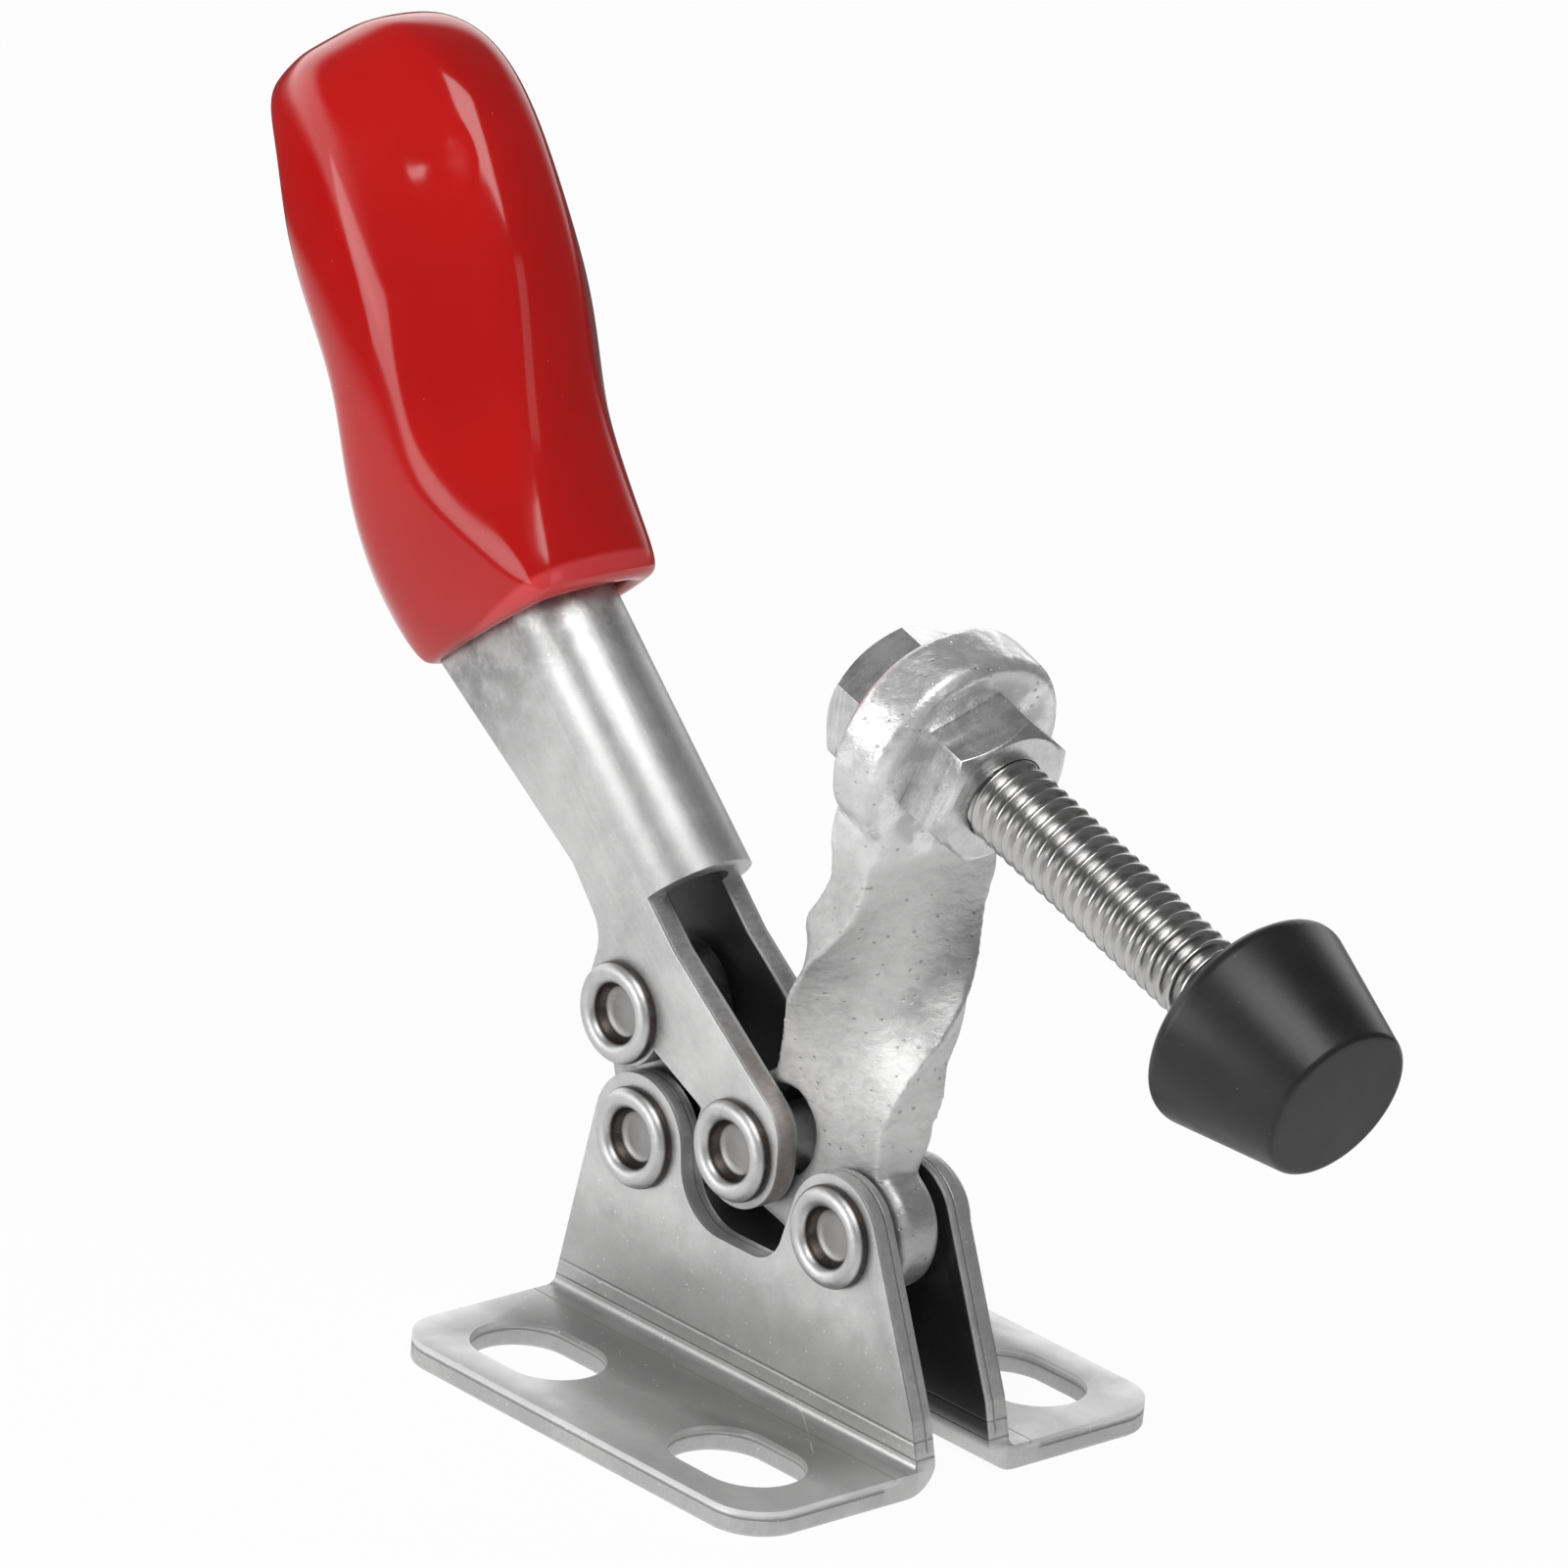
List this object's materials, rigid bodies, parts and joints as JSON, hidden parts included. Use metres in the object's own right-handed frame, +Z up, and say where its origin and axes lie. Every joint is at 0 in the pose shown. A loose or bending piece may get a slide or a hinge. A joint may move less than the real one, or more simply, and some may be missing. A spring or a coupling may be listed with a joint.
{
  "type": "toggle clamp",
  "caption": "Small horizontal toggle clamp with a flanged base, twisted arm, threaded spindle with a rubber cap and a sleeved handle, standing open.",
  "frame": {"origin": "centre of the four mounting slots, on the underside of the base", "axes": "+X towards the clamping side, +Y to the left, +Z up"},
  "size_m": [0.0721, 0.025, 0.0556],
  "materials": {
    "plated_steel": "satin",
    "forged_steel": "satin",
    "fastener_steel": "satin",
    "cap_rubber": "satin",
    "grip_vinyl": "gloss"
  },
  "bodies": {
    "base": {"base_plate_right": "plated_steel", "base_plate_left": "plated_steel", "pivot_rivet_front": "fastener_steel", "pivot_rivet_rear": "fastener_steel"},
    "arm": {"clamp_arm": "forged_steel", "spindle_bolt": "fastener_steel", "spindle_nut": "fastener_steel", "rubber_cap": "cap_rubber"},
    "link": {"toggle_link": "plated_steel"},
    "lever": {"handle": "plated_steel", "handle_grip": "grip_vinyl", "joint_rivet_arm": "fastener_steel", "joint_rivet_link": "fastener_steel"}
  },
  "joints": [
    {"name": "arm_pivot", "type": "hinge", "parent": "base", "child": "arm", "pos_m": [0.0057, 0, 0.0101], "axis": [0, 1, 0], "range_deg": [0, 74]},
    {"name": "link_pivot", "type": "hinge", "parent": "base", "child": "link", "pos_m": [-0.0075, 0, 0.0101], "axis": [0, 1, 0], "range_deg": [0, 79.34]},
    {"name": "lever_pivot", "type": "hinge", "parent": "link", "child": "lever", "pos_m": [-0.0092, 0, 0.01554], "axis": [0, -1, 0], "range_deg": [0, 131.86]}
  ],
  "couplings": [
    {"joint": "arm_pivot", "follows": "link_pivot", "ratio": 0.9328},
    {"joint": "lever_pivot", "follows": "link_pivot", "ratio": 1.662}
  ]
}
